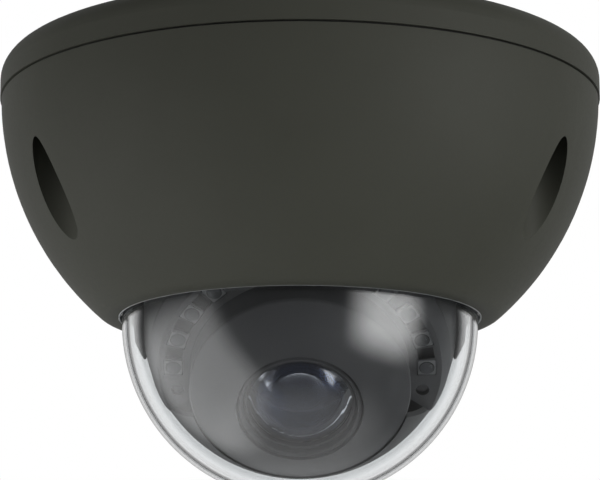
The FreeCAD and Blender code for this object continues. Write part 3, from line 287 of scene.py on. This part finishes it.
# Capacitor cans: drawn aluminium, bright with a light drag of the tool.
drawn_can, tree, shader, place = finish_named("drawn_aluminium_can", {"Metallic": 1.0})
drag = put(tree, "ShaderNodeMapping", None, {"Vector": place, "Scale": (400.0, 400.0, 4000.0)})
streak = put(tree, "ShaderNodeTexNoise", None, {"Vector": drag.outputs[0], "Scale": 1.0, "Detail": 2.0})
vary(tree, shader, streak.outputs[0], tones=("c4c5c8", "dcdddf"), rough=(0.2, 0.38))
dress(drawn_can, "board_capacitors")

# Nylon, phenolic and card plastics: ordinary satin mouldings.
dress(grained("ivory_nylon", "d8d2bd", "e0dac6", 0.3, 0.01, (0.42, 0.58)), "board_connectors")
dress(grained("black_phenolic", "303031", "38383a", 0.3, 0.008, (0.45, 0.6)), "reset_switch")
dress(grained("black_nylon_key", "1c1c1c", "232323", 0.3, 0.008, (0.45, 0.6)), "reset_button")
dress(grained("moulded_card", "1a1a1c", "202022", 0.2, 0.006, (0.4, 0.55)), "memory_card")

# ---------------------------------------------------------------- gimbal
# Yoke, clamps and head carrier are glass-filled nylon, friction rings are acetal.  The yoke
# turns in the chassis plate and carries the ball between its two arms.

# Glass-filled nylon: deep black with a fine dry texture from the tool.
nylon = grained("black_glass_filled_nylon", "141414", "1a1a1b", 0.25, 0.012, (0.5, 0.66))
dress(nylon, "dome_clamp_ring", "yoke", "pan_clamp", "head_carrier", "rear_cover", "lens_holder",
      "filter_housing", "filter_cover", "filter_tray")

# Acetal: natural, waxy off-white.
acetal = grained("natural_acetal", "dcdad2", "e6e4dd", 0.4, 0.006, (0.35, 0.5))
dress(acetal, "pan_friction_ring", "tilt_washers")

# ---------------------------------------------------------------- head shells
# Tilt ring, front mask and lamp cover: injection-moulded ABS with a satin surface.

# ABS: charcoal, satin, with the least trace of spark texture.
satin_abs = grained("charcoal_satin_abs", "444444", "474746", 1.2, 0.0006, (0.45, 0.49),
                    {"Specular IOR Level": 0.35})
dress(satin_abs, "tilt_ring", "front_mask")

# The lamp cover is the same moulding; inside its pockets the colour is painted near-black
# as painted shade, so they read as dark squares between the lamps.
lens_way = Vector(next(j["axis"] for j in frame["joints"] if j["name"] == "head_rotation"))
abs_with_painted_pocket_shade = grained("charcoal_abs_with_painted_pocket_shade", "434344", "464647", 1.2, 0.0006, (0.45, 0.49),
                     {"Specular IOR Level": 0.35})
pocket_floor, pocket_shade_reach = 16.35, 31.0      # along the lens and from the pivot: inside both is pocket
tree = abs_with_painted_pocket_shade.node_tree
place = next(n for n in tree.nodes if n.type == "TEX_COORD").outputs["Object"]
shader = next(n for n in tree.nodes if n.type == "BSDF_PRINCIPLED")
from_middle = put(tree, "ShaderNodeVectorMath", {"operation": "SUBTRACT"}, {0: place, 1: pivot})
along = put(tree, "ShaderNodeVectorMath", {"operation": "DOT_PRODUCT"},
            {0: from_middle.outputs[0], 1: lens_way})
reach = put(tree, "ShaderNodeVectorMath", {"operation": "LENGTH"}, {0: from_middle.outputs[0]})
sunk = put(tree, "ShaderNodeMath", {"operation": "LESS_THAN"},
           {0: along.outputs["Value"], 1: pocket_floor * MM})
inside = put(tree, "ShaderNodeMath", {"operation": "LESS_THAN"},
             {0: reach.outputs["Value"], 1: pocket_shade_reach * MM})
painted_pocket_shade = put(tree, "ShaderNodeMath", {"operation": "MULTIPLY"}, {0: sunk.outputs[0], 1: inside.outputs[0]})
plain = shader.inputs["Base Color"].links[0].from_socket
# Inside the pockets the plain tone gives way to near-black: painted shade in the recesses.
tone = put(tree, "ShaderNodeMix", {"data_type": "RGBA"},
           {0: painted_pocket_shade.outputs[0], 6: plain, 7: colour("0b0b0c")})
tree.links.new(tone.outputs[2], shader.inputs["Base Color"])
dress(abs_with_painted_pocket_shade, "lamp_cover")

# The hood comes from a polished tool, a shade darker and smoother.
hood_abs = grained("black_polished_abs", "3d3d3e", "3f3f40", 1.5, 0.0003, (0.40, 0.43),
                   {"Specular IOR Level": 0.35})
dress(hood_abs, "lens_hood")

# ---------------------------------------------------------------- infrared lamps
# Eight surface-mount lamps on a ring board with black mask: a square grey package with a
# narrow rim, a plated cup around the die, and a clear silicone bead.

turn = math.pi - math.atan2(-lens_way.y, -lens_way.z)
head_place = Matrix.Translation(pivot) @ Matrix.Rotation(turn, 4, "X") @ millimetres
lamp_ring_r, lamp_foot, lamp_top = 24.4, 14.0, 16.6
lamp_angles = (2.0, 17.5, 33.0, 48.5)
lamp_size, lamp_corner, cup_r = 3.3, 0.12, 1.3
cup_sink, bead_sink, bead_height, bead_cut = 0.12, 0.1, 0.75, -0.02


def on_the_face(angle, height):
    """Place on the lamp ring, angle from the head's right side up."""
    return Matrix.Rotation(math.radians(angle), 4, "Z") @ Matrix.Translation((lamp_ring_r, 0, height))


def gathered(name, meshes, place):
    """Several bmeshes joined as one piece."""
    whole = bmesh.new()
    for bm in meshes:
        scrap = bpy.data.meshes.new("scrap")
        bm.to_mesh(scrap)
        bm.free()
        whole.from_mesh(scrap)
        bpy.data.meshes.remove(scrap)
    return laid(name, whole, place)


def lamp_package():
    """Square body with softened edges, and a narrow rim let into its top."""
    bm = bmesh.new()
    bmesh.ops.create_cube(bm, size=1.0)
    bmesh.ops.scale(bm, vec=(lamp_size, lamp_size, lamp_top - lamp_foot), verts=bm.verts[:])
    bmesh.ops.bevel(bm, geom=bm.edges[:], offset=lamp_corner, offset_type="OFFSET", segments=2, profile=0.5,
                    affect="EDGES", material=-1)
    top = max(bm.faces, key=lambda f: f.calc_center_median().z)
    bmesh.ops.inset_region(bm, faces=[top], thickness=0.08, depth=0.0)
    bmesh.ops.inset_region(bm, faces=[top], thickness=0.04, depth=-0.1)
    return bm


def lamp_cup():
    """Plated cup round the die: a rolled rim, then a wall that closes to a point at its floor."""
    bm = bmesh.new()
    bmesh.ops.create_circle(bm, segments=40, radius=cup_r + 0.02)
    edges = bm.edges[:]
    for radius, z in ((cup_r + 0.12, 0.1), (cup_r, 0.12), (cup_r * 0.72, -0.1), (0.001, -0.12)):
        grown = bmesh.ops.extrude_edge_only(bm, edges=edges)
        edges = [g for g in grown["geom"] if isinstance(g, bmesh.types.BMEdge)]
        for v in {v for e in edges for v in e.verts}:
            r = math.hypot(v.co.x, v.co.y)
            v.co = (v.co.x / r * radius, v.co.y / r * radius, z)
    bmesh.ops.remove_doubles(bm, verts=bm.verts[:], dist=0.002)
    bmesh.ops.recalc_face_normals(bm, faces=bm.faces[:])
    return bm


def lamp_bead():
    """Flattened half ball of silicone with a flat underside."""
    bm = bmesh.new()
    bmesh.ops.create_uvsphere(bm, u_segments=40, v_segments=24, radius=cup_r)
    bmesh.ops.scale(bm, vec=(1, 1, bead_height), verts=bm.verts[:])
    bmesh.ops.bisect_plane(bm, geom=bm.verts[:] + bm.edges[:] + bm.faces[:], plane_co=(0, 0, bead_cut),
                           plane_no=(0, 0, -1), clear_outer=True)
    bmesh.ops.holes_fill(bm, edges=[e for e in bm.edges if e.is_boundary], sides=0)
    return bm


rims, cups, beads = [], [], []
for angle in [*lamp_angles, *(180 - a for a in lamp_angles)]:
    for group, made, height in ((rims, lamp_package(), (lamp_foot + lamp_top) / 2),
                                (cups, lamp_cup(), lamp_top - cup_sink),
                                (beads, lamp_bead(), lamp_top - bead_sink)):
        bmesh.ops.transform(made, matrix=on_the_face(angle, height), verts=made.verts[:])
        group.append(made)

# Lamp package: mould compound with a satin face, paler than the cover around it.
package_grey = grained("lamp_package_compound", "6a6b6c", "747576", 0.2, 0.004, (0.4, 0.5))
fitted(gathered("infrared_lamp_packages", rims, head_place), package_grey, "head", "lamp_package",
       "infrared_lamps")
cup_tone = grained("lamp_cup_plating", "3a3a3b", "454546", 0.1, 0.003, (0.2, 0.3), {"Metallic": 0.6})
fitted(gathered("infrared_lamp_cups", cups, head_place), cup_tone, "head", "lamp_package")

# Silicone bead: clear and glossy, each one holds a small bright point.
silicone, tree, shader, place = finish_named("clear_lamp_silicone", {
    "Base Color": colour("b9bbbe"), "Transmission Weight": 1.0, "IOR": 1.41})
cloud = put(tree, "ShaderNodeTexNoise", None, {"Vector": place, "Scale": 900.0})
vary(tree, shader, cloud.outputs[0], rough=(0.02, 0.06))
fitted(gathered("infrared_lamp_beads", beads, head_place), silicone, "head", "lamp_silicone", "lamp_lenses")

# Ring board: black mask, and photocells behind a dark window.
dress(grained("black_solder_mask", "141414", "191919", 0.3, 0.004, (0.3, 0.42)), "lamp_board")
dress(grained("dark_photocell_window", "161518", "1b1a1d", 0.3, 0.002, (0.15, 0.25)), "light_sensors")

# ---------------------------------------------------------------- lens
# Machined and black-anodised aluminium barrel, screwed into its holder and locked by a ring;
# a coated meniscus at the front held by a thin threaded ring, three smaller glasses behind.

# Black anodising: charcoal metal skin, softly glossy, with turning rings.
anodised, tree, shader, place = finish_named("black_anodised_aluminium", {"Specular IOR Level": 0.4})
fine = put(tree, "ShaderNodeTexNoise", None, {"Vector": place, "Scale": 300.0, "Detail": 1.0})
vary(tree, shader, fine.outputs[0], tones=("29292b", "2d2d2f"), rough=(0.34, 0.38))
dress(anodised, "lens_lock_ring")

lens_r, lens_face, barrel_foot = 11.75, 28.35, 5.4
thread_r, thread_top, waist_r, waist_low, waist_top, flare_top = 6.95, 15.8, 9.5, 17.3, 20.3, 22.8
mouth_r, seat_r, ring_top = 10.95, 10.6, 27.3
glass_r, glass_seat, glass_apex, front_radius = 10.4, 24.2, 31.0, 12.6
upper_ledge, lower_ledge = (8.7, 23.3), (7.8, 22.6)      # inner radius, height
throat_r, throat_foot, bore_r, bore_foot, exit_r = 6.4, 19.5, 5.2, 12.0, 4.6
baffle_r, baffle_pitch = 6.15, 0.55
baffles = []
for i in range(4):
    baffles += [(throat_r, 22.3 - baffle_pitch * i), (baffle_r, 22.1 - baffle_pitch * i)]
barrel = turned("lens_barrel_turned", head_place,
                (exit_r, barrel_foot), (thread_r, barrel_foot, 0.2), (thread_r, thread_top),
                (waist_r, waist_low, 0.3), (waist_r, waist_top), (lens_r, flare_top, 0.3),
                (lens_r, lens_face, 0.35), (mouth_r, lens_face, 0.25), (seat_r, ring_top),
                (seat_r, glass_seat), (upper_ledge[0], glass_seat, 0.06), upper_ledge,
                (lower_ledge[0], upper_ledge[1], 0.06), lower_ledge, (throat_r, lower_ledge[1], 0.06),
                *baffles,
                (throat_r, throat_foot), (bore_r, throat_foot), (bore_r, bore_foot), (exit_r, bore_foot),
                (exit_r, barrel_foot))
fitted(barrel, anodised, "head", "lens_black", "lens_barrel")

# Retaining ring: black-anodised, threaded into the barrel over the rim of the glass.
ring_in_r, ring_out_r, ring_gap = 9.9, 10.55, 0.03
front_centre = glass_apex - front_radius
ring_low = front_centre + math.sqrt(front_radius ** 2 - ring_in_r ** 2) + ring_gap
retainer = turned("front_glass_retainer", head_place,
                  (ring_in_r, ring_low), (ring_out_r, ring_low), (ring_out_r, ring_top, 0.15),
                  (ring_in_r, ring_top, 0.15), (ring_in_r, ring_low))
fitted(retainer, anodised, "head", "lens_black", "lens_ring")

# Front glass: a meniscus, drawn from its apex round the rim to the hollow at its back.
half = math.degrees(math.asin(glass_r / front_radius))
rear_r, rear_rise = 7.4, 1.2
rear_radius = (rear_r ** 2 + rear_rise ** 2) / (2 * rear_rise)
rear_half = math.degrees(math.asin(rear_r / rear_radius))
front_glass = turned("front_meniscus", head_place,
                     (0, glass_apex), ("arc", 0, front_centre, half), (glass_r, glass_seat, 0.1),
                     (rear_r, glass_seat), ("arc", 0, glass_seat + rear_rise - rear_radius, -rear_half),
                     rounds=160, fine=1.0)


# Spacers between the glasses: bare turned edges show as two fine rings through the front.
spacer_wire = 0.12
for radius, foot in ((8.15, upper_ledge[1]), (7.0, lower_ledge[1])):
    spacer = turned("glass_spacer_%d" % round(10 * radius), head_place,
                    (radius, foot), (radius + spacer_wire, foot), (radius + spacer_wire, foot + spacer_wire),
                    (radius, foot + spacer_wire), (radius, foot))
    fitted(spacer, drawn_can, "head", "lens_black")


def biconvex(radius, centre, rim, bulge):
    """An inner glass: two bulged faces and a flat rim."""
    sphere_r = (radius ** 2 + bulge ** 2) / (2 * bulge)
    opening = math.degrees(math.asin(radius / sphere_r))
    top, bottom = centre + rim / 2, centre - rim / 2
    return turned("inner_glass_%d" % round(10 * radius), head_place,
                  (0, bottom - bulge), ("arc", 0, bottom - bulge + sphere_r, -opening), (radius, top),
                  ("arc", 0, top + bulge - sphere_r, -opening), rounds=96)


def coated_glass(name, tint, film):
    """Nearly clear glass; its coating gives the faint mirror image the colour of film."""
    material, tree, shader, place = finish_named(name, {
        "Base Color": colour(tint), "Transmission Weight": 1.0, "IOR": 1.62, "Roughness": 0.0,
        "Specular Tint": colour(film)})
    haze = put(tree, "ShaderNodeTexNoise", None, {"Vector": place, "Scale": 200.0})
    vary(tree, shader, haze.outputs[0], rough=(0.0, 0.01))
    return material


front_coating = coated_glass("blue_coated_glass", "f4f6fa", "4b5d8a")
inner_coating = coated_glass("violet_coated_glass", "e4e4e8", "2f3556")
fitted(front_glass, front_coating, "head", "lens_glass", "front_lens")
inner_glasses = ((6.3, 21.8, 1.2, 1.1), (5.1, 16.4, 1.0, 0.9), (4.5, 8.8, 1.0, 0.8))
for at, sizes in enumerate(inner_glasses):
    stands_for = ["lens_elements"] if at == 0 else []
    fitted(biconvex(*sizes), inner_coating, "head", "lens_glass", *stands_for)

# ---------------------------------------------------------------- filter changer and sensor
# A magnet between the poles of a coil swings an arm that slides a tray with two panes, one
# infrared-cut, one clear, in front of the image sensor.

# Infrared-cut pane: a pale cyan mirror coat.  The other pane is plain.
dress(coated_glass("infrared_cut_pane", "a8d8da", "ff9a80"), "infrared_cut_glass")
dress(coated_glass("plain_pane", "f2f5f4", "ffffff"), "clear_glass")

# Coil: enamelled copper, one turn beside the next.
copper, tree, shader, place = finish_named("enamelled_copper_winding", {"Metallic": 1.0, "Roughness": 0.3})
turns = put(tree, "ShaderNodeTexWave", {"bands_direction": "X"}, {"Vector": place, "Scale": 1400.0})
vary(tree, shader, turns.outputs[1], tones=("7d3a1c", "c4703c"))
bump = put(tree, "ShaderNodeBump", None, {"Height": turns.outputs[1], "Distance": 0.05 * MM})
tree.links.new(bump.outputs[0], shader.inputs["Normal"])
dress(copper, "filter_coil")

# Magnet: nickel plate, grey and softly bright.
nickel = grained("nickel_plated_magnet", "75757a", "828287", 0.3, 0.003, (0.3, 0.4), {"Metallic": 0.9})
dress(nickel, "filter_rotor")

# Image sensor: a ceramic body with the chip's green-violet sheen under its lid.
die, tree, shader, place = finish_named("image_sensor_package", {"Roughness": 0.12, "Coat Weight": 0.5})
sheen = put(tree, "ShaderNodeTexWave", {"bands_direction": "X"},
            {"Vector": place, "Scale": 40.0, "Distortion": 2.0})
vary(tree, shader, sheen.outputs[1], tones=("221c33", "1d3330"))
dress(die, "image_sensor")

# ---------------------------------------------------------------- room, lamps and camera
# A white room with a pale floor a metre below the ceiling mount.  A wide panel stands at the
# left, a softbox at the right, a strip above the front, with a plain key on each side that
# no reflection shows; the camera looks up at the dome from half a metre.

scene = bpy.context.scene
scene.view_settings.view_transform = "Standard"

bm = bmesh.new()
floor_r, floor_z = 2.0, -1.0
bmesh.ops.create_circle(bm, cap_ends=True, segments=96, radius=floor_r)
floor = laid("pale_floor", bm, Matrix.Translation((0, 0, floor_z)))
paint = grained("pale_floor_paint", "e9e9e7", "efefed", 4.0, 0.02, (0.6, 0.75))
floor.data.materials.append(paint)
floor.visible_glossy = floor.visible_transmission = False

world = bpy.data.worlds.new("white_room")
scene.world = world
world.use_nodes = True
tree = world.node_tree
tree.nodes.clear()
way = put(tree, "ShaderNodeTexCoord").outputs["Generated"]
ray = put(tree, "ShaderNodeLightPath")
split = put(tree, "ShaderNodeSeparateXYZ", None, {0: way})
backdrop_way = (0, 0.978, 0.21)
toward = put(tree, "ShaderNodeVectorMath", {"operation": "DOT_PRODUCT"}, {0: way, 1: backdrop_way})


def by_backdrop(*stops):
    """Brightness by how far a direction lies off the middle of the backdrop, as (cosine, level) stops."""
    ramp = put(tree, "ShaderNodeValToRGB", None, {0: toward.outputs["Value"]})
    marks = ramp.color_ramp.elements
    while len(marks) < len(stops):
        marks.new(0.5)
    for mark, (cosine, level) in zip(marks, stops):
        mark.position, mark.color = cosine, (level, level, level, 1)
    return ramp.outputs[0]


# Three brightnesses: what a surface mirrors, what shows straight through clear parts, and the
# even fill that lights matt surfaces.  The camera itself sees plain white.
backdrop = by_backdrop((0.48, 0.08), (0.58, 0.15), (0.68, 1.0), (0.81, 1.0), (0.845, 0.08), (0.89, 0.08),
                       (0.905, 0.7), (0.965, 0.72), (0.99, 0.3))
seen_through = by_backdrop((0.5, 0.25), (0.76, 0.1), (0.89, 0.06), (0.92, 0.5), (0.95, 1.0))
from_below = put(tree, "ShaderNodeMapRange", {"interpolation_type": "SMOOTHSTEP"},
                 {"Value": split.outputs["Z"], "From Min": -0.66, "From Max": -0.95,
                  "To Min": 0.0, "To Max": 0.5})
mirrored = put(tree, "ShaderNodeMath", None, {0: backdrop, 1: from_below.outputs[0]})
fill = put(tree, "ShaderNodeMapRange", None,
           {"Value": split.outputs["Z"], "From Min": -1.0, "From Max": 1.0, "To Min": 0.5, "To Max": 0.36})
first = put(tree, "ShaderNodeMath", {"operation": "LESS_THAN"}, {0: ray.outputs["Diffuse Depth"], 1: 0.5})
straight = put(tree, "ShaderNodeMath", {"operation": "LESS_THAN"}, {0: ray.outputs["Glossy Depth"], 1: 0.5})
unlit = put(tree, "ShaderNodeMath", {"operation": "MULTIPLY"}, {0: first.outputs[0], 1: straight.outputs[0]})
bounced = put(tree, "ShaderNodeMix", None, {0: first.outputs[0], 2: fill.outputs[0], 3: mirrored.outputs[0]})
through = put(tree, "ShaderNodeMix", None, {0: unlit.outputs[0], 2: bounced.outputs[0], 3: seen_through})
glow = put(tree, "ShaderNodeMix", None, {0: ray.outputs["Is Camera Ray"], 2: through.outputs[0], 3: 1.0})
room = put(tree, "ShaderNodeBackground", None, {"Color": (1, 1, 1, 1), "Strength": glow.outputs[0]})
put(tree, "ShaderNodeOutputWorld", None, {"Surface": room.outputs[0]})


lamp_distance = 1.2


def softbox(name, azimuth, elevation, width, height, radiance, edge, roll=0):
    """A panel that faces the dome, sizes in metres; its light falls off softly towards its edges."""
    lamp = bpy.data.lights.new(name, "AREA")
    lamp.shape, lamp.size, lamp.size_y = "RECTANGLE", width, height
    lamp.energy = radiance * math.pi * width * height
    lamp.use_nodes = True
    tree = lamp.node_tree
    tree.nodes.clear()
    spot = put(tree, "ShaderNodeNewGeometry").outputs["Parametric"]
    split = put(tree, "ShaderNodeSeparateXYZ", None, {0: spot})
    sides = []
    for axis, soft in (("X", edge[0]), ("Y", edge[1])):
        from_edge = put(tree, "ShaderNodeMath", {"operation": "PINGPONG"}, {0: split.outputs[axis], 1: 0.5})
        sides.append(put(tree, "ShaderNodeMapRange", {"interpolation_type": "SMOOTHSTEP"},
                         {"Value": from_edge.outputs[0], "From Min": 0.0, "From Max": soft}).outputs[0])
    both = put(tree, "ShaderNodeMath", {"operation": "MULTIPLY"}, {0: sides[0], 1: sides[1]})
    light = put(tree, "ShaderNodeEmission", None, {"Strength": both.outputs[0]})
    put(tree, "ShaderNodeOutputLight", None, {"Surface": light.outputs[0]})
    held = bpy.data.objects.new(name, lamp)
    scene.collection.objects.link(held)
    a, e = math.radians(azimuth), math.radians(elevation)
    way_out = Vector((math.sin(a) * math.cos(e), -math.cos(a) * math.cos(e), math.sin(e)))
    rolled = Matrix.Rotation(math.radians(roll), 4, "Z")
    facing = way_out.to_track_quat("Z", "Y").to_matrix().to_4x4() @ rolled
    held.matrix_world = Matrix.Translation(pivot + way_out * lamp_distance) @ facing
    return held


softbox("left_panel", -84, -31, 2.25, 2.4, 1.3, (0.28, 0.32), roll=8)
for name, azimuth, elevation, radiance in (("left_key", -60, -50, 1.0), ("right_key", 75, 14, 1.2)):
    key = softbox(name, azimuth, elevation, 1.0, 1.0, radiance, (0.2, 0.2))
    key.visible_glossy = key.visible_transmission = False
softbox("right_softbox", 58, -3, 1.5, 1.25, 3.7, (0.42, 0.42))
top_strip = softbox("front_top_softbox", 0, 34, 0.7, 0.2, 1.6, (0.2, 0.3))
top_strip.visible_diffuse = False

eye = bpy.data.cameras.new("camera")
eye.lens, eye.sensor_width, eye.sensor_fit = 148.21, 36.0, "HORIZONTAL"
stand = bpy.data.objects.new("camera", eye)
scene.collection.objects.link(stand)
aim = Vector((0, 0, -0.0363))
stand.location = (0, -0.4888, -0.1412)
stand.rotation_euler = (aim - stand.location).to_track_quat("-Z", "Y").to_euler()
scene.camera = stand
